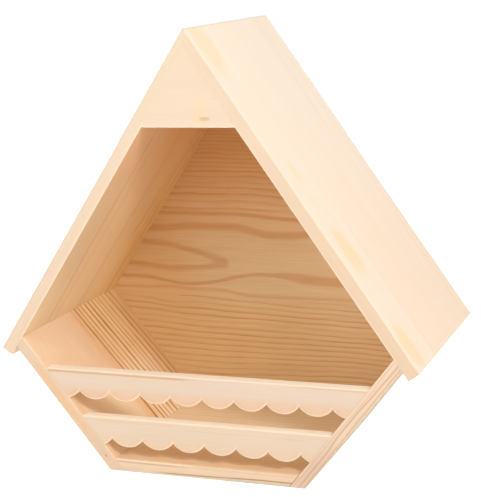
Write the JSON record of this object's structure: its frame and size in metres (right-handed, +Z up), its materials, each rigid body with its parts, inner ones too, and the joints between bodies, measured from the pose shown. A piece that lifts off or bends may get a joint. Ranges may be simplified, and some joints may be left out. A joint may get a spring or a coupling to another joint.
{
  "type": "wooden dovecote",
  "caption": "Small open-fronted wooden nesting box for doves, with a steep pitched roof, splayed side walls and scalloped front rails.",
  "frame": {"origin": "centre of the underside, midway between front and back and between the sides", "axes": "+Z up, front towards -Y, +X to the right of someone facing the front"},
  "size_m": [0.418, 0.218, 0.422],
  "materials": {
    "roof_pine": "bare planed pine, pale cream, matt",
    "wall_pine": "bare planed pine, warm pink, matt",
    "striped_pine": "bare planed pine with close dark growth rings, matt",
    "back_pine": "bare planed pine, tan with bold figure, matt",
    "front_pine": "bare planed pine, pale peach, matt"
  },
  "bodies": {
    "root": {"roof_left_front": "roof_pine", "roof_left_middle": "roof_pine", "roof_left_back": "roof_pine", "roof_right_front": "roof_pine", "roof_right_middle": "roof_pine", "roof_right_back": "roof_pine", "wall_left_front": "wall_pine", "wall_left_back": "striped_pine", "wall_right_front": "wall_pine", "wall_right_back": "striped_pine", "floor_front": "wall_pine", "floor_back": "wall_pine", "back_board_1": "back_pine", "back_board_2": "back_pine", "back_board_3": "back_pine", "back_board_4": "back_pine", "gable_board": "front_pine", "upper_rail": "front_pine", "lower_rail": "front_pine"}
  },
  "joints": []
}
